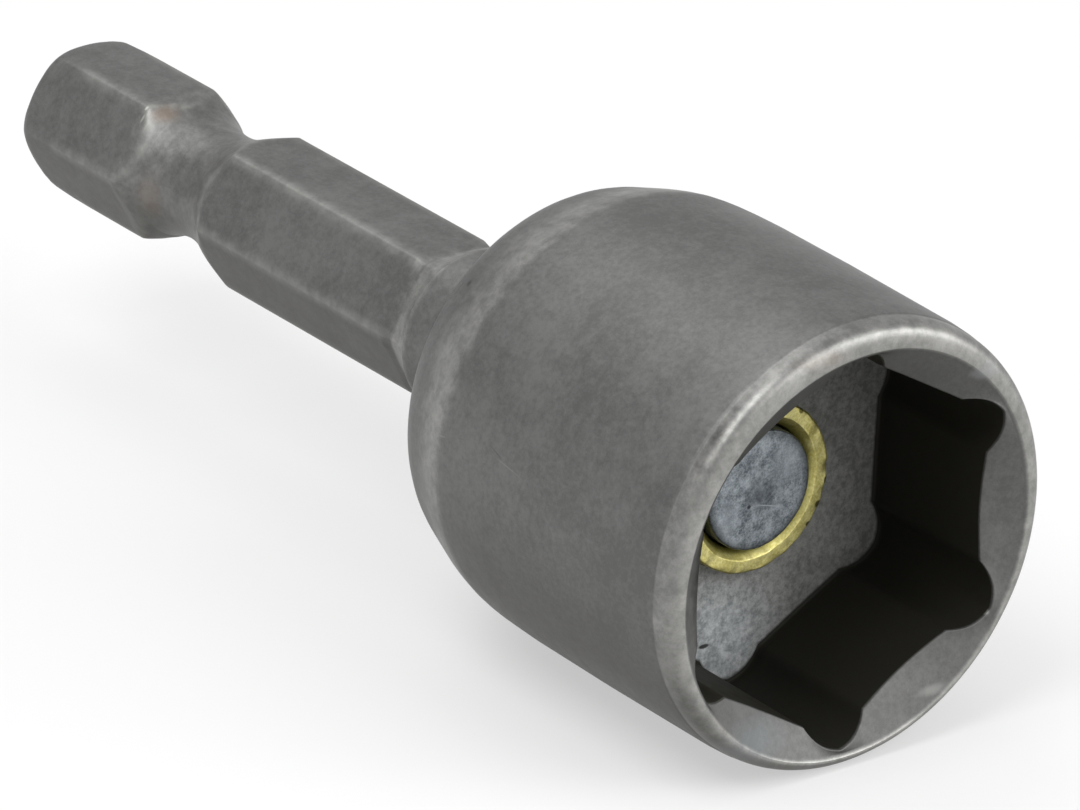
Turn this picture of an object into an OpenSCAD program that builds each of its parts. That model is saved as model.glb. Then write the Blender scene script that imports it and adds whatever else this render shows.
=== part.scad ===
// Magnetic nut driver bit, lying on its barrel.
// The tool axis runs along X, with the mouth towards +X and the shank towards -X.
// The origin is below the middle of the tool, on the surface that the barrel lies on.
// All lengths are millimetres.

/* [Overall] */
// Length from the shank's end to the mouth
total_len = 53; // [46:0.2:80]

/* [Shank] */
// Width of the hex shank across its flats
shank_af = 6.3; // [6:0.05:6.4]
// Width across the hex shank's blunted corners
shank_corner_d = 7.14; // [7.1:0.01:7.2]
// Length of the hex from the shank's end to the round neck
shank_len = 26.8; // [24:0.1:28]
// Length of the slope where each flat runs out into the neck
runout_len = 0.55; // [0.3:0.05:1.2]
// Diameter of the round neck
neck_d = 7.2; // [7.2:0.05:8.5]
// Distance from the shank's end to the middle of the groove
groove_from_end = 10; // [8.5:0.05:10.5]
// Diameter at the bottom of the groove
groove_root_d = 4.65; // [4.3:0.05:5.2]
// Width of the groove at the hex corners
groove_w = 6.2; // [4.5:0.1:6.6]
// Length of the taper at the shank's end
end_taper_len = 2.1; // [1:0.1:3]
// Diameter of the shank's end where its edge is rounded
end_d = 5.8; // [5:0.1:6.2]
// Radius of the rounded edge at the shank's end
end_round = 0.4; // [0.2:0.05:0.6]

/* [Barrel] */
// Outer diameter at the mouth
mouth_d = 19.7; // [19.4:0.1:21]
// Outer diameter at the shoulder
barrel_d = 19.4; // [18.8:0.1:19.6]
// Distance from the mouth to the start of the shoulder
barrel_len = 15.9; // [14:0.1:20]
// Length of the tapered shoulder
shoulder_len = 2.85; // [1.5:0.05:4]
// Diameter at the small end of the shoulder
shoulder_d = 17.3; // [16:0.1:18]
// Radius of the rounded corner behind the shoulder
shoulder_round = 0.9; // [0.4:0.05:1.2]
// Length of the sloping rear face down to the neck
rear_len = 2.5; // [1.5:0.1:3.5]
// Radius of the fillet between the rear face and the neck
neck_fillet = 1.2; // [0.5:0.1:1.6]
// Length of the bevel round the outside of the mouth
bevel_len = 1.15; // [0.6:0.05:1.8]
// Diameter of the lip at the front of that bevel
lip_d = 19; // [18.4:0.05:19.2]
// Radius of the rounded lip
lip_round = 0.3; // [0.15:0.05:0.4]

/* [Recess] */
// Width of the hex recess across its flats
recess_af = 14.7; // [14.3:0.05:14.9]
// Depth of the recess floor below the mouth
recess_depth = 7.4; // [6.8:0.05:10]
// Distance from the axis to the middle of each corner relief
relief_pos = 7.25; // [7.1:0.05:7.4]
// Radius of each corner relief
relief_r = 1.47; // [1.35:0.01:1.5]
// Radius of the blend between a relief and its flats
relief_blend = 0.4; // [0.2:0.05:0.5]
// Diameter of the countersink at the mouth
sink_d = 17.85; // [17.7:0.05:18]
// Depth of the countersink where it meets the middle of a flat
sink_depth = 0.85; // [0.4:0.05:1.2]

/* [Magnet] */
// Outer diameter of the brass sleeve
sleeve_d = 7.5; // [7:0.1:8.5]
// Inner diameter of the brass sleeve
sleeve_bore_d = 5.5; // [5.3:0.1:5.9]
// Diameter of the sleeve's countersunk mouth
sleeve_sink_d = 6.3; // [6:0.1:6.6]
// Length of the brass sleeve
sleeve_len = 5.6; // [4:0.1:7]
// Height of the sleeve's rim above the recess floor
sleeve_stand = 0.8; // [0.2:0.05:1.2]
// Diameter of the magnet
magnet_d = 5.15; // [4.9:0.05:5.2]
// Height of the magnet's face above the sleeve's rim
magnet_stand = 0.35; // [0:0.05:0.6]

/* [Hidden] */
$fn = 96;

hex_sides = 6;
corner_turn = 360 / hex_sides;
half_turn = corner_turn / 2;
// How far each cut runs past the face that it opens
overrun = 1;
// Clearance between the pressed sleeve and its bore, all round
press_gap = 0.01;
// Rounded edges of the sleeve's rim and of the magnet's face
sleeve_edge = 0.12;
magnet_edge = 0.12;

// Places along the tool, measured from the shank's end
shoulder_at = total_len - barrel_len;
rear_at = shoulder_at - shoulder_len;
neck_at = rear_at - rear_len;
floor_at = total_len - recess_depth;
// The sleeve and the magnet both stand on the floor of the bore
bore_at = floor_at + sleeve_stand - sleeve_len;
magnet_len = sleeve_len + magnet_stand;

// Lays a piece that was modelled upright on its side, with the barrel touching the surface.
module lay_down() {
  translate([-total_len / 2, 0, mouth_d / 2])
    rotate([0, 90, 0])
      children();
}

// Hexagon given by its width across flats, with a corner on the X axis.
module hexagon(af) {
  circle(d = af / cos(half_turn), $fn = hex_sides);
}

// Groove that the chuck's balls or clip drop into: an arc swept round the axis.
module groove_cut() {
  groove_depth = (shank_corner_d - groove_root_d) / 2;
  half_w = groove_w / 2;
  arc_r = (half_w * half_w + groove_depth * groove_depth) / (2 * groove_depth);
  translate([0, 0, groove_from_end])
    rotate_extrude()
      translate([groove_root_d / 2 + arc_r, 0])
        circle(r = arc_r);
}

// Outline, from the axis outwards, that the hex bar is turned down to at its end.
module end_outline() {
  small_r = end_d / 2;
  polygon([
    [0, 0],
    [small_r - end_round, 0],
    [small_r - end_round, end_round],
    [small_r, end_round],
    [shank_corner_d / 2, end_taper_len],
    [shank_corner_d / 2, shank_len],
    [0, shank_len],
  ]);
  translate([small_r - end_round, end_round])
    circle(r = end_round);
}

// Hex shank with its tapered end, its groove and the slope of its run-out.
module shank() {
  difference() {
    union() {
      intersection() {
        rotate_extrude()
          end_outline();
        linear_extrude(height = shank_len)
          rotate(half_turn)
            hexagon(shank_af);
      }
      translate([0, 0, shank_len - runout_len])
        cylinder(h = runout_len, d1 = shank_af, d2 = shank_corner_d);
    }
    groove_cut();
  }
}

// Neck, rear face, shoulder and barrel as one outline turned round the axis.
module turned_outline() {
  neck_r = neck_d / 2;
  corner_r = shoulder_d / 2;
  mouth_r = mouth_d / 2;
  lip_r = lip_d / 2;
  // Straight-sided stretches from the run-out to the lip
  polygon([
    [0, shank_len],
    [neck_r, shank_len],
    [neck_r, neck_at],
    [corner_r - shoulder_round, rear_at - shoulder_round],
    [corner_r - shoulder_round, rear_at],
    [corner_r, rear_at],
    [barrel_d / 2, shoulder_at],
    [mouth_r, total_len - bevel_len],
    [lip_r, total_len - lip_round],
    [lip_r - lip_round, total_len - lip_round],
    [lip_r - lip_round, total_len],
    [0, total_len],
  ]);
  // Rounded corner behind the shoulder
  translate([corner_r - shoulder_round, rear_at])
    circle(r = shoulder_round);
  // Rounded lip
  translate([lip_r - lip_round, total_len - lip_round])
    circle(r = lip_round);
  neck_fillet_outline();
}

// Fillet that blends the neck into the sloping rear face.
module neck_fillet_outline() {
  neck_r = neck_d / 2;
  run = shoulder_d / 2 - shoulder_round - neck_r;
  rise = rear_len - shoulder_round;
  slope = atan2(rise, run);
  // The fillet touches the neck and the face at the same distance from their corner
  reach = neck_fillet * tan((90 - slope) / 2);
  difference() {
    polygon([
      [neck_r, neck_at],
      [neck_r + reach * cos(slope), neck_at + reach * sin(slope)],
      [neck_r + neck_fillet, neck_at - reach],
      [neck_r, neck_at - reach],
    ]);
    translate([neck_r + neck_fillet, neck_at - reach])
      circle(r = neck_fillet);
  }
}

// One blend where a flat meets a corner relief, for the relief on the X axis.
module relief_blend_outline() {
  flat_r = recess_af / 2;
  // Along the flat, measured from the foot of the relief's centre, and outwards from the flat
  foot = relief_pos * sin(half_turn);
  inset = flat_r - relief_pos * cos(half_turn);
  cross_at = sqrt(relief_r * relief_r - inset * inset);
  span = relief_r + relief_blend;
  blend_at = sqrt(span * span - (inset + relief_blend) * (inset + relief_blend));
  touch_share = relief_r / span;
  rotate(half_turn)
    translate([flat_r, -foot])
      difference() {
        polygon([
          [relief_blend, blend_at],
          [0, blend_at],
          [0, cross_at],
          [(inset + relief_blend) * touch_share - inset, blend_at * touch_share],
        ]);
        translate([relief_blend, blend_at])
          circle(r = relief_blend);
      }
}

// Outline of the recess: a hexagon with a round relief blended into each corner.
module recess_outline() {
  hexagon(recess_af);
  for (i = [0 : hex_sides - 1])
    rotate(i * corner_turn) {
      translate([relief_pos, 0])
        circle(r = relief_r);
      relief_blend_outline();
      mirror([0, 1])
        relief_blend_outline();
    }
}

// Conical countersink that leads the fastener's head into the recess.
module sink_cut() {
  flat_r = recess_af / 2;
  sink_r = sink_d / 2;
  slope = sink_depth / (sink_r - flat_r);
  // The cone starts inside the flats and runs past the mouth at the same slope
  low_r = flat_r - overrun;
  high_r = sink_r + overrun;
  translate([0, 0, total_len - (sink_r - low_r) * slope])
    cylinder(h = (high_r - low_r) * slope, r1 = low_r, r2 = high_r);
}

// Steel body in one piece: hex shank, neck and barrel, with the hex recess and the sleeve's bore.
module driver_body() {
  color("#6e6e6b")
    lay_down()
      difference() {
        union() {
          shank();
          rotate_extrude()
            turned_outline();
        }
        translate([0, 0, floor_at])
          linear_extrude(height = recess_depth + overrun)
            recess_outline();
        sink_cut();
        translate([0, 0, bore_at])
          cylinder(h = sleeve_len + overrun, d = sleeve_d + 2 * press_gap);
      }
}

// Brass sleeve, pressed into the bore in the recess floor, that carries the magnet.
module magnet_sleeve() {
  sink_len = (sleeve_sink_d - sleeve_bore_d) / 2;
  rim_r = sleeve_d / 2;
  color("#c8be68")
    lay_down()
      translate([0, 0, bore_at])
        difference() {
          rotate_extrude()
            polygon([
              [0, 0],
              [rim_r, 0],
              [rim_r, sleeve_len - sleeve_edge],
              [rim_r - sleeve_edge, sleeve_len],
              [0, sleeve_len],
            ]);
          translate([0, 0, -overrun])
            cylinder(h = sleeve_len + 2 * overrun, d = sleeve_bore_d);
          translate([0, 0, sleeve_len - sink_len])
            cylinder(h = sink_len + overrun, d1 = sleeve_bore_d, d2 = sleeve_sink_d + 2 * overrun);
        }
}

// Plated magnet, glued into the sleeve with its face just past the rim.
module magnet() {
  magnet_r = magnet_d / 2;
  color("#8a949b")
    lay_down()
      translate([0, 0, bore_at])
        rotate_extrude()
          polygon([
            [0, 0],
            [magnet_r, 0],
            [magnet_r, magnet_len - magnet_edge],
            [magnet_r - magnet_edge, magnet_len],
            [0, magnet_len],
          ]);
}

driver_body();
magnet_sleeve();
magnet();
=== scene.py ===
# %% [markdown]
# A magnetic nut driver bit, dressed for its picture
#
# The real object is three pieces: a steel body in one piece from the hex shank to the socket, a brass
# sleeve pressed into the socket's floor, and a plated magnet glued into the sleeve. The CAD model gives
# each piece its place and size. This lesson keeps those places and makes each surface look handled:
# tumbled edges, an oily broached recess, a turned brass rim and a mottled magnet.

# %% Load the CAD frame
import math

import bmesh
import bpy
from mathutils import Matrix, Vector


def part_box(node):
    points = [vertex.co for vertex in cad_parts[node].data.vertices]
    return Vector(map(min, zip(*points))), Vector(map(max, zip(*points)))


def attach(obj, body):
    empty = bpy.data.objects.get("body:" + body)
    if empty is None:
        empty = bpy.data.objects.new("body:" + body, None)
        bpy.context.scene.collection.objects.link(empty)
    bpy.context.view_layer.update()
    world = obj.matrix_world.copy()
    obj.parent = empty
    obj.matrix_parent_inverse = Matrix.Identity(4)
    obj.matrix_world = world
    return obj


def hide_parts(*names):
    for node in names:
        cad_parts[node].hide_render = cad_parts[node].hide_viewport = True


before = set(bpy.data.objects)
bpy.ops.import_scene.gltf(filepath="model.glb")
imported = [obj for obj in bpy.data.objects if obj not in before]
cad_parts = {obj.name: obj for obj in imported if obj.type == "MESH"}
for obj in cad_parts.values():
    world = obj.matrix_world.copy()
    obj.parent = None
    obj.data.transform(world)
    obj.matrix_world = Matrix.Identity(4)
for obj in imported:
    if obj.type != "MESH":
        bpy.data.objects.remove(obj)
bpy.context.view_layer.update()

print("CAD nodes:", sorted(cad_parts))

# %% [markdown]
# Units and places
#
# Blender works in metres and a toolmaker in millimetres, so every size below is written in millimetres
# and multiplied by mm once. The tool lies on its barrel, with its axis along X. Places along the tool are
# counted from the shank's end, as on the drawing of such a bit.

# %% Take the tool's place from the CAD and set the depths in its mouth
mm = 0.001
body_low, body_high = (Vector(corner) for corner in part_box("driver_body"))
shank_end_x = body_low.x
axis_height = (body_low.z + body_high.z) / 2
mouth = (body_high.x - body_low.x) / mm
recess_depth, sleeve_stand, magnet_stand = 7.4, 0.8, 0.2
floor_at = mouth - recess_depth
sleeve_end = floor_at + sleeve_stand
magnet_end = sleeve_end + magnet_stand
print(f"The tool is {mouth:.1f} mm long and its axis is {axis_height / mm:.2f} mm above the floor")

# %% [markdown]
# One helper for every node
#
# Geometry Nodes and shaders are both trees of nodes with links between them. One small function adds a
# node, sets its settings, and fills each input with a plain value or with a link from another node. An
# input is called by its name, or by its number where several share one name: a Mix node's colours are
# inputs 6 and 7, and a Map Range node's inputs 1 to 4 are the range that goes in and the one that comes
# out.

# %% Add a node with its settings and links
def fill(tree, node, inputs):
    """Fills inputs with values, outputs or other nodes, which stand for their first output in use."""
    for place, value in inputs.items():
        if isinstance(value, bpy.types.Node):
            value = next(output for output in value.outputs if output.enabled)
        if isinstance(value, bpy.types.NodeSocket):
            tree.links.new(value, node.inputs[place])
        else:
            node.inputs[place].default_value = value


def add(tree, kind, inputs=None, **settings):
    """Adds one node with its settings and fills its inputs."""
    made = tree.nodes.new(kind)
    for setting, value in settings.items():
        setattr(made, setting, value)
    fill(tree, made, inputs or {})
    return made


# %% Turn a written colour into Blender's linear colour
def colour(written):
    """Turns an sRGB colour such as "#6e6e6d" into linear red, green, blue and alpha."""
    shares = [int(written[i : i + 2], 16) / 255 for i in (1, 3, 5)]
    return [s / 12.92 if s <= 0.04045 else ((s + 0.055) / 1.055) ** 2.4 for s in shares] + [1.0]


print("Mid grey steel is", [round(c, 3) for c in colour("#6e6e6d")])

# %% [markdown]
# The outline of a turned piece
#
# A lathe makes a round piece from one outline. Its corners are written below as on a drawing: how far
# along the axis, how far out, and the radius that breaks the corner. No real corner is sharp, and the
# small arc is what catches the light. A modelling tool could bevel the finished mesh, but rounding the
# outline first keeps every arc clean all the way round.
#
# Each corner also carries shares, such as how far its edge is worn bright. Points between two corners
# blend them.
#
# - lift: how far above the hex flats the turned surface may stand, in millimetres
# - soft: how much wider than usual the edge between flat and turned surface is rounded, in millimetres
# - reach: 1 where the surface follows the broached hexagon and its corner reliefs
# - climb: 1 where the surface moves up the countersink as it moves out
# - aside, above: how far the surface sits off the axis, in millimetres
# - edge: 1 where tumbling wore the edge bright, and calm: 1 where it didn't
# - soot: 1 where shade is painted dark into the recess and its gaps, and bare: 1 where the cut steel is
#   lighter

# %% Break one corner of an outline
# Where a point lies round and along the axis, and its shares: for its form, and for its looks alone
PLACES = ("turn", "along", "out")
FORM_SHARES = ("lift", "soft", "reach", "climb", "aside", "above", "edge", "calm")
LOOK_SHARES = ("soot", "bare")
SHARES = FORM_SHARES + LOOK_SHARES
arc_steps = 6
# An arc takes at most this share of the straights beside it, so that two arcs never meet
most_of_straight = 0.49


def broken_corner(before, here, after, rounding):
    """Returns the points of the small arc that breaks one corner."""
    to_before, to_after = before - here, after - here
    half = to_before.angle(to_after) / 2
    longest = most_of_straight * min(to_before.length, to_after.length)
    reach = min(rounding / math.tan(half), longest)
    radius = reach * math.tan(half)
    inwards = (to_before.normalized() + to_after.normalized()).normalized()
    centre = here + inwards * radius / math.sin(half)
    first = here + to_before.normalized() * reach - centre
    last = here + to_after.normalized() * reach - centre
    sweep = math.pi - 2 * half
    points = []
    for k in range(arc_steps + 1):
        to_last = sweep * k / arc_steps
        arm = first * math.sin(sweep - to_last) + last * math.sin(to_last)
        points.append(centre + arm / math.sin(sweep))
    return points


test_arc = broken_corner(Vector((0, 0, 0)), Vector((0, 3, 0)), Vector((2, 3, 0)), 0.4)
print("A corner is broken by an arc of", len(test_arc), "points")

# %% Fill the straights between corners
# A worn edge fades out over these distances on the straights beside it, in millimetres
fade_steps = (0.08, 0.18, 0.32, 0.55)


def straight_between(first, last):
    """Returns points on the straight between two corners, close together where worn edges fade."""
    (start, start_shares), (end, end_shares) = first, last
    length = (end - start).length / mm
    near = [step for step in fade_steps if step < length / 2]
    points = []
    for place in near + [length - step for step in reversed(near)]:
        share = place / length
        blend = {name: start_shares.get(name, 0) * (1 - share) + end_shares.get(name, 0) * share
                 for name in SHARES}
        fade = [max(0, 1 - distance / fade_steps[-1]) ** 2 for distance in (place, length - place)]
        blend["edge"] = max(start_shares.get("edge", 0) * fade[0], end_shares.get("edge", 0) * fade[1])
        points.append((start.lerp(end, share), blend))
    return points


def rounded_outline(corners, closed=False):
    """Turns corners (along, out, rounding, shares) into a dense outline of (point, shares)."""
    places = [Vector((shank_end_x + along * mm, out * mm, 0))
              for along, out, rounding, shares in corners]
    arcs = []
    for i, (along, out, rounding, shares) in enumerate(corners):
        if rounding:
            arc = broken_corner(places[i - 1], places[i], places[(i + 1) % len(places)], rounding * mm)
        else:
            arc = [places[i]]
        arcs.append([(point, shares) for point in arc])
    outline = []
    for i, arc in enumerate(arcs):
        outline += arc
        if closed or i + 1 < len(arcs):
            outline += straight_between(arc[-1], arcs[(i + 1) % len(arcs)][0])
    return outline


test_corner = rounded_outline([(0, 0, 0, {}), (0, 3, 0.4, {}), (2, 3, 0, {})])
print("An outline with one broken corner has", len(test_corner), "points")

# %% [markdown]
# The rule that turns an outline into a piece
#
# The body is made on a lathe and then milled and broached, and the node tree works in that order. Cutting
# the shapes with booleans would be another way, but it gives long thin faces and razor edges. The sizes
# are inputs of the tree, so the same rule also turns the sleeve and the magnet, and a longer or thicker
# tool needs no new code.

# %% Give the rule its inputs
turned_tree = bpy.data.node_groups.new("Turned_milled_broached", "GeometryNodeTree")
tree = turned_tree
sizes = ("Axis height", "Shank flat", "Edge softness", "Recess flat", "Relief distance", "Relief radius",
         "Relief softness", "Countersink slope", "Worn edge", "Unevenness", "Ragged edge", "Ragged size",
         "Seed")
for name, kind in [("Outline", "Geometry"), ("Columns", "Int"), *((size, "Float") for size in sizes),
                   ("Material", "Material")]:
    tree.interface.new_socket(name, in_out="INPUT", socket_type="NodeSocket" + kind)
tree.interface.new_socket("Piece", in_out="OUTPUT", socket_type="NodeSocketGeometry")
given = tree.nodes.new("NodeGroupInput").outputs
print("The rule has", len(sizes), "sizes")

# %% [markdown]
# Turning comes first. The outline is swept round the axis, and each column of points keeps its angle as
# an attribute, from which all later steps work out where a point belongs.

# %% Sweep the outline round the axis
curve = add(tree, "GeometryNodeMeshToCurve", {"Mesh": given["Outline"]})
circle = add(tree, "GeometryNodeCurvePrimitiveCircle", {"Resolution": given["Columns"]})
index = add(tree, "GeometryNodeInputIndex")
share = add(tree, "ShaderNodeMath", {0: index, 1: given["Columns"]}, operation="DIVIDE")
angle = add(tree, "ShaderNodeMath", {0: share, 1: 2 * math.pi}, operation="MULTIPLY")
rail = add(tree, "GeometryNodeStoreNamedAttribute", {"Geometry": circle, "Name": "turn", "Value": angle})
swept = add(tree, "GeometryNodeCurveToMesh", {"Curve": rail, "Profile Curve": curve})
read = {name: add(tree, "GeometryNodeInputNamedAttribute", {"Name": name})
        for name in PLACES + FORM_SHARES}
print("The steps after the sweep read", len(read), "attributes")

# %% [markdown]
# Milling cuts the six flats of the shank: where an outline point has no lift, its radius may not pass the
# flats. A smooth minimum stands for the small radius that the stones left between flat and round.

# %% Mill the hex flats
sixth = math.pi / 6
off_flat = add(tree, "ShaderNodeMath", {0: read["turn"], 1: sixth, 2: -sixth}, operation="WRAP")
cosine = add(tree, "ShaderNodeMath", {0: off_flat}, operation="COSINE")
flat = add(tree, "ShaderNodeMath", {0: given["Shank flat"], 1: cosine}, operation="DIVIDE")
lift = add(tree, "ShaderNodeMath", {0: read["lift"], 1: mm, 2: flat}, operation="MULTIPLY_ADD")
softness = add(tree, "ShaderNodeMath", {0: read["soft"], 1: mm, 2: given["Edge softness"]},
               operation="MULTIPLY_ADD")
milled = add(tree, "ShaderNodeMath", {0: read["out"], 1: lift, 2: softness}, operation="SMOOTH_MIN")
print("Each flat takes", round(math.degrees(2 * sixth)), "degrees")

# %% [markdown]
# Broaching cuts the hex recess: where a point has reach, its radius grows into the flats and the round
# reliefs at the six corners. The reliefs cut the countersink's cone where they should, because a point
# with climb moves along the cone as it moves out.

# %% Broach the recess and its corner reliefs
off_corner = add(tree, "ShaderNodeMath", {0: off_flat}, operation="ABSOLUTE")
from_flat = add(tree, "ShaderNodeMath", {0: sixth, 1: off_corner}, operation="SUBTRACT")
flat_cosine = add(tree, "ShaderNodeMath", {0: from_flat}, operation="COSINE")
wall = add(tree, "ShaderNodeMath", {0: given["Recess flat"], 1: flat_cosine}, operation="DIVIDE")
sine = add(tree, "ShaderNodeMath", {0: off_flat}, operation="SINE")
aside = add(tree, "ShaderNodeMath", {0: given["Relief distance"], 1: sine}, operation="MULTIPLY")
aside_squared = add(tree, "ShaderNodeMath", {0: aside, 1: aside}, operation="MULTIPLY")
radius_squared = add(tree, "ShaderNodeMath", {0: given["Relief radius"], 1: given["Relief radius"]},
                     operation="MULTIPLY")
left = add(tree, "ShaderNodeMath", {0: radius_squared, 1: aside_squared}, operation="SUBTRACT")
inside_circle = add(tree, "ShaderNodeMath", {0: left, 1: 0.0}, operation="MAXIMUM")
root = add(tree, "ShaderNodeMath", {0: inside_circle}, operation="SQRT")
relief = add(tree, "ShaderNodeMath", {0: given["Relief distance"], 1: cosine, 2: root},
             operation="MULTIPLY_ADD")
lobed = add(tree, "ShaderNodeMath", {0: wall, 1: relief, 2: given["Relief softness"]},
            operation="SMOOTH_MAX")
gain = add(tree, "ShaderNodeMath", {0: lobed, 1: given["Recess flat"]}, operation="SUBTRACT")
out = add(tree, "ShaderNodeMath", {0: read["reach"], 1: gain, 2: milled}, operation="MULTIPLY_ADD")
rise = add(tree, "ShaderNodeMath", {0: gain, 1: given["Countersink slope"]}, operation="MULTIPLY")
along = add(tree, "ShaderNodeMath", {0: read["climb"], 1: rise, 2: read["along"]},
            operation="MULTIPLY_ADD")
print("Turning, milling and broaching take", len(tree.nodes), "nodes")

# %% [markdown]
# Each point now goes to its radius and angle round the axis. Aside and above move it off the axis,
# because a forged tool is never quite true.

# %% Put each point in its place
side = add(tree, "ShaderNodeMath", {0: read["turn"]}, operation="SINE")
upward = add(tree, "ShaderNodeMath", {0: read["turn"]}, operation="COSINE")
around = add(tree, "ShaderNodeCombineXYZ", {1: side, 2: upward})
outward = add(tree, "ShaderNodeVectorMath", {0: around, "Scale": out}, operation="SCALE")
axis = add(tree, "ShaderNodeCombineXYZ", {0: along, 2: given["Axis height"]})
placed = add(tree, "ShaderNodeVectorMath", {0: outward, 1: axis}, operation="ADD")
off_centre = add(tree, "ShaderNodeCombineXYZ", {1: read["aside"], 2: read["above"]})
shift = add(tree, "ShaderNodeVectorMath", {0: off_centre, "Scale": mm}, operation="SCALE")
position = add(tree, "ShaderNodeVectorMath", {0: placed, 1: shift}, operation="ADD")
shaped = add(tree, "GeometryNodeSetPosition", {"Geometry": swept, "Position": position})
print("The shape alone takes", len(tree.nodes), "nodes")

# %% [markdown]
# Tumbling wears two kinds of edge bright: those of the outline, and the narrow turned strip that is left
# between two flats of the hex. The second is found by how close the turned surface and the flats lie.

# %% Find the worn edges
# The strip stands up to 0.07 mm inside the flats' corner, so the share is full around half of that
half_strip, full_wear = 0.035 * mm, 0.02 * mm
apart = add(tree, "ShaderNodeMath", {0: read["out"], 1: lift}, operation="SUBTRACT")
off_strip = add(tree, "ShaderNodeMath", {0: apart, 1: half_strip}, operation="ADD")
distance = add(tree, "ShaderNodeMath", {0: off_strip}, operation="ABSOLUTE")
corner_wear = add(tree, "ShaderNodeMapRange",
                  {"Value": distance, 1: full_wear, 2: given["Worn edge"], 3: 1.0, 4: 0.0},
                  interpolation_type="SMOOTHSTEP")
uncalm = add(tree, "ShaderNodeMath", {0: 1.0, 1: read["calm"]}, operation="SUBTRACT")
rubbed = add(tree, "ShaderNodeMath", {0: corner_wear, 1: uncalm}, operation="MULTIPLY")
wear = add(tree, "ShaderNodeMath", {0: rubbed, 1: read["edge"]}, operation="MAXIMUM")
worn = add(tree, "GeometryNodeStoreNamedAttribute", {"Geometry": shaped, "Name": "wear", "Value": wear})
print("Wear is full within", full_wear / mm, "mm of an edge")

# %% [markdown]
# Tumbling also leaves a small unevenness, and a chipped edge is ragged on a finer scale. Two noises move
# each point along its normal.

# %% Make the surface uneven
uneven_size = 1.8 * mm
place = add(tree, "GeometryNodeInputPosition")
moved = add(tree, "ShaderNodeVectorMath", {0: place, 1: given["Seed"]}, operation="ADD")
slow = add(tree, "ShaderNodeTexNoise",
           {"Vector": moved, "Scale": 1 / uneven_size, "Detail": 2.0, "Roughness": 0.5})
slow_bump = add(tree, "ShaderNodeMath", {0: slow, 1: 0.5}, operation="SUBTRACT")
slow_height = add(tree, "ShaderNodeMath", {0: slow_bump, 1: given["Unevenness"]}, operation="MULTIPLY")
fine = add(tree, "ShaderNodeTexNoise",
           {"Vector": moved, "Scale": given["Ragged size"], "Detail": 2.0, "Roughness": 0.5})
fine_bump = add(tree, "ShaderNodeMath", {0: fine, 1: 0.5}, operation="SUBTRACT")
chipped = add(tree, "ShaderNodeMath", {0: read["edge"], 1: given["Ragged edge"]}, operation="MULTIPLY")
height = add(tree, "ShaderNodeMath", {0: fine_bump, 1: chipped, 2: slow_height},
             operation="MULTIPLY_ADD")
normal = add(tree, "GeometryNodeInputNormal")
offset = add(tree, "ShaderNodeVectorMath", {0: normal, "Scale": height}, operation="SCALE")
uneven = add(tree, "GeometryNodeSetPosition", {"Geometry": worn, "Offset": offset})
print("The unevenness is", uneven_size / mm, "mm from bump to bump")

# %% Close the poles and let the piece out with its finish
same_point = 0.001 * mm
closed = add(tree, "GeometryNodeMergeByDistance", {"Geometry": uneven, "Distance": same_point})
smooth = add(tree, "GeometryNodeSetShadeSmooth", {"Geometry": closed})
real = add(tree, "GeometryNodeRealizeInstances", {"Geometry": smooth})
finished = add(tree, "GeometryNodeSetMaterial", {"Geometry": real, "Material": given["Material"]})
add(tree, "NodeGroupOutput", {"Piece": finished})
print("The whole rule has", len(tree.nodes), "nodes")

# %% [markdown]
# From the rule to a finished piece
#
# The outline goes in as a chain of points with its shares as attributes, and the rule runs as a modifier
# on it. The result is copied out as plain mesh and the modifier goes, so nothing later depends on it. The
# faces are turned outwards, and the open edges and the volume are printed as a check on the shell.

# %% Run the rule on one outline
def turned_piece(name, corners, material, sizes, closed=False):
    """Sweeps one outline by the rule and returns the finished piece as plain mesh."""
    outline = rounded_outline(corners, closed)
    line = bpy.data.meshes.new(name + "_outline")
    edges = [(i, i + 1) for i in range(len(outline) - 1)] + ([(len(outline) - 1, 0)] if closed else [])
    line.from_pydata([point for point, shares in outline], edges, [])
    values = {"along": [point.x for point, shares in outline],
              "out": [point.y for point, shares in outline]}
    values.update({share: [shares.get(share, 0.0) for point, shares in outline] for share in SHARES})
    for attribute, numbers in values.items():
        line.attributes.new(attribute, "FLOAT", "POINT").data.foreach_set("value", numbers)
    carrier = bpy.data.objects.new(name + "_outline", line)
    bpy.context.scene.collection.objects.link(carrier)
    modifier = carrier.modifiers.new("Turned", "NODES")
    modifier.node_group = turned_tree
    settings = {"Axis height": axis_height, "Material": material, **sizes}
    for socket in turned_tree.interface.items_tree:
        if socket.in_out == "INPUT" and socket.name in settings:
            modifier[socket.identifier] = settings[socket.name]
    carrier.update_tag()
    seen = carrier.evaluated_get(bpy.context.evaluated_depsgraph_get())
    mesh = bpy.data.meshes.new_from_object(seen)
    mesh.name = name
    bpy.data.objects.remove(carrier)
    # The faces point outwards on the closed shell
    shell = bmesh.new()
    shell.from_mesh(mesh)
    bmesh.ops.recalc_face_normals(shell, faces=shell.faces)
    open_edges = sum(not edge.is_manifold for edge in shell.edges)
    triangles = sum(len(face.verts) - 2 for face in shell.faces)
    volume = shell.calc_volume() / mm**3
    shell.to_mesh(mesh)
    shell.free()
    # The finishes read wear, the painted shade and bare, and nothing reads the others any more
    for attribute in PLACES + FORM_SHARES:
        mesh.attributes.remove(mesh.attributes[attribute])
    piece = bpy.data.objects.new(name, mesh)
    bpy.context.scene.collection.objects.link(piece)
    print(f"{name}: {triangles} triangles, {open_edges} open edges, {volume:.1f} cubic mm")
    return piece


# %% [markdown]
# Surfaces as shares and patterns
#
# Every finish below is built the same way. The surface's place in millimetres drives noises of a known
# real size, so that grain stays grain and clouds stay clouds. Their weighted sum is a share between 0 and
# 1, and each share says where one coat of colour covers the coats below it.

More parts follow.
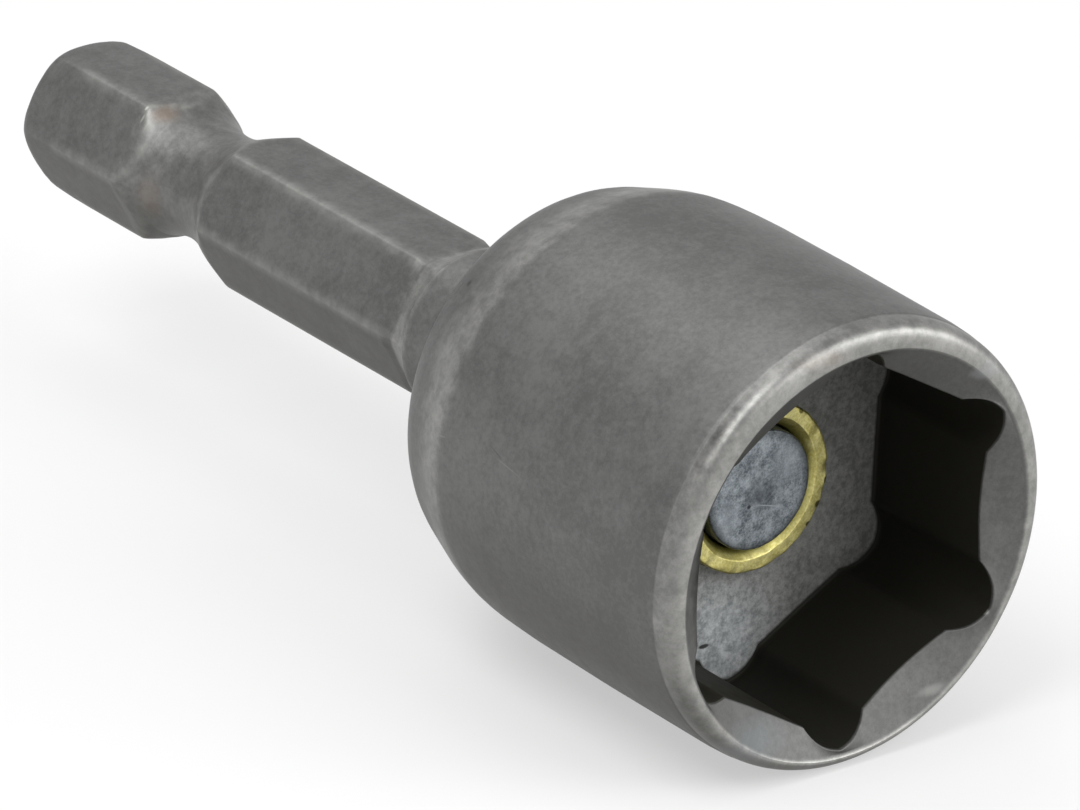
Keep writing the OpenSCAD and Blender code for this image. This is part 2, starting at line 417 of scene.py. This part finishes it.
# %% Start a material and grow its patterns
# Noise of scale 1 has blotches about this many units across
blotch = 0.7


def new_material(name):
    """Returns a material, its tree and its empty Principled shader."""
    material = bpy.data.materials.new(name)
    material.use_nodes = True
    material.node_tree.nodes.clear()
    tree = material.node_tree
    shader = add(tree, "ShaderNodeBsdfPrincipled")
    add(tree, "ShaderNodeOutputMaterial", {"Surface": shader})
    return material, tree, shader


def object_places(tree):
    """Returns the surface's place in millimetres from the tool's middle, for patterns of real size."""
    place = add(tree, "ShaderNodeTexCoord").outputs["Object"]
    return add(tree, "ShaderNodeVectorMath", {0: place, "Scale": 1 / mm}, operation="SCALE")


def patterns(tree, place, *layers):
    """Returns a noise for each layer: the size of its blotches in millimetres, detail and roughness."""
    return [add(tree, "ShaderNodeTexNoise", {"Vector": place, "Scale": blotch / size, "Detail": detail,
                                             "Roughness": roughness})
            for size, detail, roughness in layers]


def sum_of(tree, *parts):
    """Returns the weighted sum of patterns around 0.5, so that it swings both ways from the middle."""
    total = 0.5 - sum(weight for pattern, weight in parts) / 2
    for pattern, weight in parts:
        total = add(tree, "ShaderNodeMath", {0: pattern, 1: weight, 2: total}, operation="MULTIPLY_ADD")
    return total


def painted(tree, ground, *coats):
    """Lays coats over a ground colour. A coat is the share that says where it covers, and a colour."""
    surface = colour(ground) if isinstance(ground, str) else ground
    for share, coat in coats:
        coat = colour(coat) if isinstance(coat, str) else coat
        surface = add(tree, "ShaderNodeMix", {0: share, 6: surface, 7: coat}, data_type="RGBA")
    return surface


print("Noise of scale 1 has blotches", blotch, "units across")

# %% [markdown]
# A single mark, such as a pit, a nick or a stain, is a share that is 1 at one place and fades around it.
# Its rim is broken up by noise so that it doesn't look stamped.

# %% Write the helpers for single marks
# A mark's rim lies this far out, in half extents, where the noise that breaks it up is at its middle
rim_at = 1.1
stain_ragged = 0.6


def mark(tree, place, centre, size, breakup, ragged, soft, lean=None):
    """Returns the share of one mark. centre counts from the shank's end, size is half its extent.

    lean says how far a scratch drops for each millimetre that it runs along X and along Y.
    """
    middle = (shank_end_x / mm + centre[0], centre[1], centre[2])
    away = add(tree, "ShaderNodeVectorMath", {0: place, 1: middle}, operation="SUBTRACT")
    if lean:
        drop = add(tree, "ShaderNodeVectorMath", {0: away, 1: (*lean, 1)}, operation="DOT_PRODUCT")
        parts = add(tree, "ShaderNodeSeparateXYZ", {0: away}).outputs
        away = add(tree, "ShaderNodeCombineXYZ", {0: parts["X"], 1: parts["Y"], 2: drop})
    sized = add(tree, "ShaderNodeVectorMath", {0: away, 1: size}, operation="DIVIDE")
    distance = add(tree, "ShaderNodeVectorMath", {0: sized}, operation="LENGTH")
    broken = add(tree, "ShaderNodeMath", {0: breakup, 1: ragged, 2: distance}, operation="MULTIPLY_ADD")
    rim = rim_at + ragged / 2
    return add(tree, "ShaderNodeMapRange", {"Value": broken, 1: rim - soft, 2: rim, 3: 1.0, 4: 0.0},
               interpolation_type="SMOOTHSTEP")


def stained(tree, place, surface, breakup, stains):
    """Lays marks over a surface: centre, half extent, colour, strength, softness and perhaps a lean."""
    for centre, size, tint, strength, soft, *lean in stains:
        share = mark(tree, place, centre, size, breakup, stain_ragged, soft, *lean)
        strong = add(tree, "ShaderNodeMath", {0: share, 1: strength}, operation="MULTIPLY")
        surface = painted(tree, surface, (strong, tint))
    return surface


print("A mark fades out", rim_at, "half extents from its middle")

# %% [markdown]
# Steel: tumbled and phosphated
#
# The body is chrome vanadium steel, hardened, tumbled in a drum of stones and given a thin phosphate
# coat. That leaves a matt mid grey with a fine grain, faint clouds, and lighter lines where the stones
# rubbed the coat off the edges. One material does all of it, and reads the worn, the bare and the
# painted shade share of each point. It also paints shade on the side that faces down.

# %% Grow the grain of the steel
steel, tree, shader = new_material("Phosphated_tumbled_steel")
place = object_places(tree)
wear, soot, bare = (add(tree, "ShaderNodeAttribute", attribute_name=name).outputs["Fac"]
                    for name in ("wear", "soot", "bare"))
clouds, streaks, mottle, specks, grain = patterns(
    tree, place, (3.0, 3, 0.55), (1.3, 3, 0.55), (0.5, 3, 0.55), (0.17, 3, 0.55), (0.06, 3, 0.7))
# The four patterns add up to one share between the coat's darkest and lightest grey
grained = sum_of(tree, (clouds, 2.0), (mottle, 1.4), (specks, 1.6), (grain, 1.2))
print("The grain takes", len(tree.nodes), "nodes")

# %% [markdown]
# Where a tool or the stones cut last, the coat is thin and the steel shows through in cloudy patches. On
# the edges wear comes through in small patches, so its share is broken up by the mottling. The side that
# faces down is painted darker, as shade.

# %% Thin and wear the coat, and paint shade on its underside
thinning = add(tree, "ShaderNodeMath", {0: bare, 1: sum_of(tree, (streaks, 0.3), (mottle, 0.45))},
               operation="ADD")
thin = add(tree, "ShaderNodeMapRange", {"Value": thinning, 1: 0.6, 2: 1.4, 3: 0.0, 4: 1.0},
           interpolation_type="SMOOTHSTEP")
patchy = add(tree, "ShaderNodeMapRange", {"Value": mottle, 1: 0.3, 2: 0.75, 3: 0.15, 4: 0.35},
             interpolation_type="SMOOTHSTEP")
worn = add(tree, "ShaderNodeMath", {0: wear, 1: patchy}, operation="MULTIPLY")
# Painted shade: surfaces that face down get a darker colour
normal = add(tree, "ShaderNodeNewGeometry").outputs["Normal"]
facing = add(tree, "ShaderNodeSeparateXYZ", {0: normal}).outputs["Z"]
underside_shade = add(tree, "ShaderNodeMapRange", {"Value": facing, 1: -0.7, 2: 0.1, 3: 0.6, 4: 0.0},
              interpolation_type="SMOOTHSTEP")
cut_steel = painted(tree, "#898986", (grained, "#a3a29f"))
# The last coat is the painted shade on the side that faces down
worn_coat_and_underside_shade = painted(tree, "#656564", (grained, "#777776"), (thin, cut_steel), (worn, "#a8a8a3"),
                (underside_shade, "#3b3a33"))
print("With its wear the steel has", len(tree.nodes), "nodes")

# %% [markdown]
# The recess is out of the stones' reach. Its walls are painted dark as shade, which the painted shade
# share does at the end. Its floor keeps a dull pale residue, and its lowest part is painted paler and
# lighter as a pool of light. The share for the floor is a flat disc that stops short of the barrel's
# outer surface.

# %% Lay the residue on the recess floor
dull = mark(tree, place, (floor_at, 0.2, 9.7), (0.4, 8.9, 8.9), mottle, 0.0, 0.05)
# Painted light: the floor's lower part is paler and lighter, where light falls into the recess
painted_floor_light = mark(tree, place, (floor_at, -1.5, 2.6), (0.4, 4.8, 4.2), mottle, 0.3, 1.0)
speckled = sum_of(tree, (clouds, 0.8), (mottle, 1.2), (specks, 2.4), (grain, 1.4))
residue = painted(tree, "#70706d", (speckled, "#979794"))
lit_floor_colour = painted(tree, "#969b9d", (speckled, "#d4d8da"))
floored = painted(tree, worn_coat_and_underside_shade, (dull, painted(tree, residue, (painted_floor_light, lit_floor_colour))))
print(f"The recess floor is {recess_depth} mm below the mouth")

# %% Add the marks of this one tool
# Each mark is its centre, half extent, colour, strength and softness, and a scratch also has its lean
tool_marks = (
    # Painted shade on the countersink's steep upper side, and painted light, pale and bluish, on its
    # lowest part
    ((52.4, -7.0, 12.0), (0.6, 1.6, 7.0), "#2c2c29", 0.9, 0.8),
    ((52.7, -4.6, 2.4), (0.8, 2.6, 1.3), "#8f979b", 0.3, 1.0),
    # Brown tints in the groove and on the lip
    ((7.6, -1.2, 12.7), (0.7, 0.9, 0.5), "#8d7561", 0.35, 1.0),
    ((8.5, -2.6, 9.5), (0.9, 0.7, 1.3), "#7c6a5a", 0.3, 1.0),
    ((52.7, -2.2, 18.6), (0.5, 1.6, 0.5), "#97826b", 0.3, 1.0),
    # Two bright chips at the groove's corner
    ((6.98, -1.78, 12.84), (0.09, 0.24, 0.1), "#d2d2ce", 0.7, 0.8),
    ((7.1, -2.08, 12.47), (0.07, 0.22, 0.3), "#c0c0bc", 0.5, 0.8),
    # Two rubbed places and a nick on the rim
    ((52.9, 6.2, 16.2), (0.3, 1.0, 0.5), "#a9adad", 0.35, 1.0),
    ((52.8, 7.27, 5.13), (0.15, 0.17, 0.15), "#b9b9b6", 0.7, 0.6),
    ((52.8, 4.6, 2.3), (0.2, 1.6, 0.3), "#a5a5a2", 0.5, 1.0),
    # A pit beside the shoulder and a dark fleck on the recess floor
    ((34.92, -6.25, 16.26), (0.2, 0.25, 0.2), "#2b2b2a", 0.7, 1.0),
    ((floor_at, -1.6, 2.93), (0.3, 0.32, 0.12), "#1d1d1c", 0.9, 0.5),
    # Three short scratches on the barrel
    ((42.3, -9.54, 11.65), (1.1, 0.5, 0.04), "#8c8c8a", 0.5, 0.8, (0.13, 0)),
    ((41.4, -9.5, 11.95), (0.6, 0.5, 0.04), "#555554", 0.5, 0.8, (0.3, 0)),
    ((37.73, -9.53, 11.25), (0.35, 0.5, 0.05), "#8c8c8a", 0.5, 0.8, (-0.2, 0)),
)
marked = stained(tree, place, floored, mottle, tool_marks)
print("The steel has", len(tool_marks), "marks of its own")

# %% [markdown]
# Roughness varies a little with the mottling and drops where the coat is rubbed. The painted shade and
# the residue lie over the metal, so it shows less there, and the painted shade is also rougher and hardly
# glossy.

# %% Finish the steel
# Painted shade: the countersink, the recess walls and the floor's corner are darkened
with_painted_shade = painted(tree, marked, (soot, "#23221d"))
rough = add(tree, "ShaderNodeMapRange", {"Value": mottle, 1: 0.3, 2: 0.7, 3: 0.46, 4: 0.54})
touched = add(tree, "ShaderNodeMath", {0: worn, 1: thin}, operation="MAXIMUM")
smoother = add(tree, "ShaderNodeMath", {0: touched, 1: -0.15, 2: rough}, operation="MULTIPLY_ADD")
rougher_in_shade = add(tree, "ShaderNodeMath", {0: soot, 1: 0.15, 2: smoother}, operation="MULTIPLY_ADD")
bump = add(tree, "ShaderNodeBump", {"Height": grain, "Strength": 0.2, "Distance": 0.01 * mm})
under_shade, under_residue, gloss = (
    add(tree, "ShaderNodeMapRange", {"Value": cover, 1: 0.0, 2: 1.0, 3: clean, 4: covered},
        interpolation_type="SMOOTHSTEP")
    for cover, clean, covered in ((soot, 0.9, 0.3), (dull, 1.0, 0.25), (soot, 0.5, 0.15)))
metal = add(tree, "ShaderNodeMath", {0: under_shade, 1: under_residue}, operation="MULTIPLY")
fill(tree, shader, {"Base Color": with_painted_shade, "Roughness": rougher_in_shade, "Normal": bump, "Metallic": metal,
                    "Specular IOR Level": gloss})
print(steel.name, "has", len(tree.nodes), "nodes")

# %% [markdown]
# Brass: turned and left bare
#
# The sleeve is cut from brass bar and isn't polished. It has dulled to a greenish yellow, and its inner
# chamfer is painted olive and darker, as shade. The press chipped dark notches in its outer edge.

# %% Make the brass
brass, tree, shader = new_material("Turned_bare_brass")
place = object_places(tree)
soot = add(tree, "ShaderNodeAttribute", attribute_name="soot").outputs["Fac"]
mottle, fine = patterns(tree, place, (0.35, 3, 0.55), (0.08, 3, 0.55))
tint = painted(tree, "#bcb266", (sum_of(tree, (mottle, 2.0), (fine, 2.5)), "#e0d896"))
notches = [((sleeve_end, across, height), (0.6, half_wide, half_high), "#3a3714", strength, 0.5)
           for across, height, half_wide, half_high, strength in (
               (3.43, 8.41, 0.2, 0.2, 0.9), (2.96, 7.63, 0.16, 0.16, 0.9),
               (3.73, 9.44, 0.12, 0.22, 0.9), (2.2, 12.9, 0.12, 0.14, 0.8))]
notched = stained(tree, place, tint, mottle, notches)
# Painted shade: the inner chamfer and bore are darker and olive
chamfer_shaded = painted(tree, notched, (soot, "#8a8438"))
fill(tree, shader, {"Base Color": chamfer_shaded, "Metallic": 0.9, "Roughness": 0.45})
print(brass.name, "has", len(tree.nodes), "nodes")

# %% [markdown]
# Magnet: zinc plated
#
# A neodymium magnet rusts when bare, so it is plated with zinc. The plating is a cool grey with cloudy
# mottling, and its rim is painted dark, as shade in the gap beside the sleeve.

# %% Make the magnet's plating
plating, tree, shader = new_material("Zinc_plated_magnet")
place = object_places(tree)
soot = add(tree, "ShaderNodeAttribute", attribute_name="soot").outputs["Fac"]
clouds, mottle, fine = patterns(tree, place, (1.0, 3, 0.55), (0.3, 4, 0.6), (0.07, 3, 0.7))
mottling = sum_of(tree, (clouds, 1.5), (mottle, 2.3), (fine, 2.2))
tint = painted(tree, "#575e64", (mottling, "#a0a7ac"))
used = stained(tree, place, tint, mottle, (
    # A darker patch in the middle, two paler ones beside it, a dot and a scratch
    ((magnet_end, 0.1, 9.75), (0.6, 1.2, 1.0), "#474b51", 0.6, 1.0),
    ((magnet_end, 1.5, 10.9), (0.6, 1.2, 1.2), "#a7aeb3", 0.4, 1.0),
    ((magnet_end, -1.7, 8.9), (0.6, 0.8, 1.2), "#a7aeb3", 0.4, 1.0),
    ((magnet_end, -0.44, 9.31), (0.6, 0.13, 0.13), "#202326", 0.9, 0.7),
    ((magnet_end, 0.6, 9.12), (0.6, 0.9, 0.035), "#aab0b4", 0.7, 0.7, (0, 0.29)),
))
# Painted shade round the rim, in the gap beside the sleeve
rim_shaded = painted(tree, used, (soot, "#20221f"))
fill(tree, shader, {"Base Color": rim_shaded, "Metallic": 0.8, "Roughness": 0.5})
print(plating.name, "has", len(tree.nodes), "nodes")

# %% [markdown]
# The steel body: shank
#
# The corners follow the drawing of the part. The shank's are the tip, the taper, the groove, the hex and
# the run-out. The hex is milled, so its flats run out into the round neck in a short hollow. Lift raises
# the flats there step by step until they leave the bar. The groove is one arc, deep enough for the
# holder's ball.

# %% Write the outline of the shank
flat_r, corner_r, neck_r = 3.15, 3.57, 3.6
groove_at, groove_half, groove_root, groove_steps = 10.0, 3.1, 2.48, 20
groove_depth = corner_r - groove_root
groove_arc = (groove_half**2 + groove_depth**2) / (2 * groove_depth)
groove_tilt = math.asin(groove_half / groove_arc)
no_flats = {"lift": 20}
shank_corners = [
    (-0.1, 0, 0, {"calm": 1}),
    (-0.1, 3.44, 0.86, {"calm": 1, "soft": 0.1}),
    (2.0, corner_r, 1.5, {"calm": 1, "soft": 0.08}),
    (2.9, corner_r, 0, {}),
    (6.5, corner_r, 0, {}),
    (groove_at - groove_half + 0.15, corner_r, 0.5, {"bare": 0.3}),
]
# The rounded corner above takes the place of the arc's first steps
for k in range(4, groove_steps):
    tilt = -groove_tilt + 2 * groove_tilt * k / groove_steps
    shank_corners.append((groove_at + groove_arc * math.sin(tilt),
                          groove_root + groove_arc * (1 - math.cos(tilt)), 0, {"bare": 0.28}))
shank_corners += [
    (groove_at + groove_half, corner_r, 0.15, {}),
    (25.9, corner_r, 0, {}),
    (26.4, corner_r, 0, {"calm": 1, "soft": 0.7, "bare": 0.3}),
]
# The hollow in which each flat runs out
for along, lift in ((26.6, 0.02), (26.8, 0.07), (27.0, 0.16), (27.15, 0.26), (27.3, 0.4), (27.4, 0.5)):
    hollow = {"lift": lift, "calm": 1, "soft": 0.7, "bare": 0.6}
    shank_corners.append((along, corner_r + 0.01, 0, hollow))
shank_corners.append((27.6, neck_r - 0.01, 0, {**no_flats, "bare": 0.4}))
print("The shank's outline has", len(shank_corners), "corners")

# %% [markdown]
# The steel body: barrel
#
# After the neck come the rear face, the shoulder and the barrel. The barrel leans a little from the
# shank, so its offset from the axis grows from the mouth to the rear. The shoulder bends into the barrel
# without an edge, and the stones left a rubbed band there.

# %% Write the outline of the barrel
lean_length = 19


def leaning(along, **more):
    """Returns the shares of a barrel corner, with the barrel's small lean at that place."""
    share = (mouth - along) / lean_length
    return {**no_flats, "aside": 0.01 + 0.1 * share, "above": -0.06 + 0.18 * share, **more}


barrel_corners = [
    (27.9, neck_r, 0, no_flats),
    (31.6, neck_r, 1.2, no_flats),
    (33.5, 8.37, 2.9, leaning(33.5, bare=0.1)),
]
for along, out, rubbed_bare in (
        (36.5, 9.38, 0.5), (37.0, 9.52, 0.55), (37.5, 9.63, 0.5), (38.0, 9.7, 0.1), (38.5, 9.745, 0),
        (39.2, 9.78, 0), (40.5, 9.83, 0), (mouth - 8, 9.87, 0), (mouth - 1.8, 9.84, 0)):
    barrel_corners.append((along, out, 0, leaning(along, bare=rubbed_bare)))
barrel_corners.append((mouth - 1.1, 9.8, 0.6, leaning(mouth - 1.1, bare=0.15)))
print("The barrel's outline has", len(barrel_corners), "corners")

# %% [markdown]
# The steel body: mouth
#
# The lip is one round from the barrel to the countersink, a little fuller than an ellipse. The cone, the
# recess and the sleeve's bore follow. Each sits a little off the barrel's axis, as on forged tools, and
# the lip's centre moves from the barrel's to the cone's.

# %% Write the outline of the mouth
recess_flat, relief_at, relief_r = 7.36, 7.25, 1.47
sink_r, sink_depth = 8.925, 0.85
bore_r, sleeve_len = 3.76, 5.6
bore_end = sleeve_end - sleeve_len
cone = {**no_flats, "aside": 0.075, "above": -0.344}
recess = {**no_flats, "aside": -0.2155, "above": -0.15}
tube = {**no_flats, "aside": 0.061, "above": 0.082}
lip_steps, lip_long, lip_high, lip_inner, lip_full = 12, 0.95, 0.74, 9.02, 2.5
mouth_corners = []
for k in range(lip_steps + 1):
    share = k / lip_steps
    forward = math.sin(share * math.pi / 2) ** (2 / lip_full)
    outward = math.cos(share * math.pi / 2) ** (2 / lip_full)
    inwards = share**6
    mouth_corners.append((mouth - lip_long + lip_long * forward, lip_inner + lip_high * outward, 0,
                          {**no_flats, "aside": 0.01 + 0.065 * inwards, "above": -0.05 - 0.29 * inwards,
                           "bare": 0.5 + 0.2 * share**3, "edge": 0.35 * share**2}))
# The painted shade share darkens the countersink, the recess walls and the floor's corner as shade
mouth_corners += [
    (mouth - 0.01, sink_r + 0.02, 0.03, {**cone, "bare": 0.7, "edge": 0.3}),
    (mouth - 0.1, sink_r - 0.13, 0, {**cone, "soot": 0.2}),
    (mouth - sink_depth, recess_flat, 0.15, {**recess, "reach": 1, "climb": 1, "soot": 0.25}),
    (mouth - sink_depth - 0.12, recess_flat, 0, {**recess, "reach": 1, "climb": 0.95, "soot": 1}),
    (floor_at, recess_flat - 0.05, 0.15, {**recess, "reach": 1, "soot": 1}),
    (floor_at, recess_flat - 0.3, 0, {**recess, "reach": 0.96, "soot": 0.1, "bare": 0.9}),
    (floor_at, recess_flat - 1.2, 0, {**recess, "reach": 0.7, "bare": 1}),
    (floor_at, bore_r, 0.05, {**tube, "bare": 1}),
    (bore_end, bore_r, 0.1, tube),
    (bore_end, 0, 0, tube),
]
print("The mouth's outline has", len(mouth_corners), "corners")

# %% Turn, mill and broach the body
body_sizes = {
    "Columns": 276, "Shank flat": flat_r * mm, "Edge softness": 0.38 * mm, "Worn edge": 0.22 * mm,
    "Recess flat": recess_flat * mm, "Relief distance": relief_at * mm, "Relief radius": relief_r * mm,
    "Relief softness": 1.0 * mm, "Countersink slope": sink_depth / (sink_r - recess_flat),
    "Unevenness": 0.02 * mm, "Ragged edge": 0.02 * mm, "Ragged size": 1 / (0.4 * mm), "Seed": 3.0}
body = turned_piece("Driver_body", shank_corners + barrel_corners + mouth_corners, steel, body_sizes)
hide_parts("driver_body")
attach(body, "root")

# %% [markdown]
# The sleeve and the magnet
#
# The sleeve is a short tube, so its outline closes on itself. The magnet's outline starts and ends on the
# axis. A small gap stays between them, which the glue fills on the real tool.

# %% Turn the brass sleeve
sleeve_r, sleeve_bore_r, sleeve_sink = 3.75, 2.75, 0.4
sleeve = turned_piece("Magnet_sleeve", [
    (bore_end, sleeve_bore_r, 0.05, tube),
    (bore_end, sleeve_r, 0.05, tube),
    (sleeve_end, sleeve_r, 0.12, {**tube, "edge": 1}),
    (sleeve_end, sleeve_bore_r + sleeve_sink, 0.05, {**tube, "edge": 0.6}),
    # Painted shade in the sleeve's bore and chamfer
    (sleeve_end - sleeve_sink, sleeve_bore_r, 0.05, {**tube, "soot": 0.8}),
], brass, {
    "Columns": 240, "Unevenness": 0.01 * mm, "Ragged edge": 0.16 * mm, "Ragged size": 1 / (0.5 * mm),
    "Seed": 5.0, "Worn edge": 0.06 * mm}, closed=True)
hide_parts("magnet_sleeve")
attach(sleeve, "root")

# %% Turn the magnet
magnet_r = 2.64
magnet = turned_piece("Magnet", [
    (bore_end, 0, 0, tube),
    (bore_end, magnet_r, 0.05, tube),
    # Painted shade on the rim and side, in the gap beside the sleeve
    (magnet_end, magnet_r, 0.12, {**tube, "edge": 1, "soot": 0.6}),
    *((magnet_end, out, 0, tube) for out in (2.2, 1.5, 0.8, 0)),
], plating, {
    "Columns": 200, "Unevenness": 0.01 * mm, "Ragged edge": 0.05 * mm, "Ragged size": 1 / (0.5 * mm),
    "Seed": 7.0, "Worn edge": 0.06 * mm})
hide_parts("magnet")
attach(magnet, "root")

# %% [markdown]
# Camera
#
# A long lens far away keeps the sides of the barrel almost parallel, as in the photograph. The camera is
# turned by its bearing, its height angle and a small roll, and then moved aside until the tool's middle
# falls on its pixel in the picture.

# %% Place the camera
picture_width, picture_height, film_width = 1080, 810, 36
tool_middle_px = (455.92, 321.40)
azimuth, elevation, roll = -39.22, 24.335, math.radians(2.90)
focal_px, far = 12000, 501.19 * mm
middle = Vector((0, 0, axis_height))


def towards(bearing, height):
    """Returns the direction with this bearing round the tool and this height angle, in degrees."""
    bearing, height = math.radians(bearing), math.radians(height)
    return Vector((math.cos(bearing) * math.cos(height), math.sin(bearing) * math.cos(height),
                   math.sin(height)))


back, level = towards(azimuth, elevation), towards(azimuth + 90, 0)
above = back.cross(level)
right = math.cos(roll) * level + math.sin(roll) * above
up = -math.sin(roll) * level + math.cos(roll) * above
across = (tool_middle_px[0] - picture_width / 2) * far / focal_px
upwards = (picture_height / 2 - tool_middle_px[1]) * far / focal_px
lens = bpy.data.cameras.new("Camera")
lens.sensor_width = film_width
lens.lens = film_width * focal_px / picture_width
lens.clip_start, lens.clip_end = 0.01, 20
camera = bpy.data.objects.new("Camera", lens)
bpy.context.scene.collection.objects.link(camera)
turned = Matrix((right, up, back)).transposed().to_4x4()
turned.translation = middle + back * far - right * across - up * upwards
camera.matrix_world = turned
bpy.context.scene.camera = camera
print(f"The camera stands {far / mm:.0f} mm away with a {lens.lens:.0f} mm lens")

# %% [markdown]
# Floor
#
# The photograph's ground is plain white paper. The floor is a pale, very rough surface far larger than
# the picture, so no edge shows, and it throws soft light back at the underside of the tool as paper does.
# A little light of its own, which only the camera, shiny surfaces and glass see, stands for the
# brightness that paper keeps in a picture exposed for dark steel. The tool's shadow stays.

# %% Lay the floor
paper, tree, shader = new_material("White_background_paper")
glow, half_width = 0.5, 1.5
seen = add(tree, "ShaderNodeLightPath").outputs
either = add(tree, "ShaderNodeMath", {0: seen["Is Camera Ray"], 1: seen["Is Glossy Ray"]},
             operation="MAXIMUM")
shown = add(tree, "ShaderNodeMath", {0: either, 1: seen["Is Transmission Ray"]}, operation="MAXIMUM")
glowing = add(tree, "ShaderNodeMath", {0: shown, 1: glow}, operation="MULTIPLY")
fill(tree, shader, {"Base Color": colour("#a0a0a0"), "Roughness": 0.9, "Specular IOR Level": 0.1,
                    "Emission Color": (1, 1, 1, 1), "Emission Strength": glowing})
mesh = bpy.data.meshes.new("Floor")
mesh.from_pydata([(-half_width, -half_width, 0), (half_width, -half_width, 0),
                  (half_width, half_width, 0), (-half_width, half_width, 0)], [], [(0, 1, 2, 3)])
mesh.materials.append(paper)
floor_sheet = bpy.data.objects.new("Floor", mesh)
bpy.context.scene.collection.objects.link(floor_sheet)
print("The paper is", 2 * half_width, "m wide")

# %% [markdown]
# Light
#
# The picture was taken in an even white surround. The world gives most of the light, as the walls of a
# light tent do. A soft box high beside the camera makes the glow in the groove and along the lip. Two in
# front of the mouth, one of them low, reach into the recess, and a weak one stands behind the shank.

# %% Light the tool
world = bpy.data.worlds.new("Light_tent")
bpy.context.scene.world = world
world.use_nodes = True
fill(world.node_tree, world.node_tree.nodes["Background"], {"Color": (1, 1, 1, 1), "Strength": 0.7})
lamp_far = 0.5
# Each square soft box faces the tool: its bearing and height in degrees, its width in metres, its watts
soft_boxes = (
    ("Shoulder_softbox", -75, 58, 0.24, 1.25),
    ("Front_softbox", 20, 38, 0.3, 0.8),
    ("Low_softbox", 42, 14, 0.25, 0.9),
    ("Rear_softbox", 180, 60, 0.3, 0.45),
)
for name, bearing, height, width, watts in soft_boxes:
    light = bpy.data.lights.new(name, "AREA")
    light.size, light.energy = width, watts
    hung = bpy.data.objects.new(name, light)
    bpy.context.scene.collection.objects.link(hung)
    way = towards(bearing, height)
    hung.location = middle + way * lamp_far
    hung.rotation_euler = way.to_track_quat("Z", "Y").to_euler()
bpy.context.scene.view_settings.view_transform = "Standard"
print("The tool is lit by the tent and", len(soft_boxes), "soft boxes")
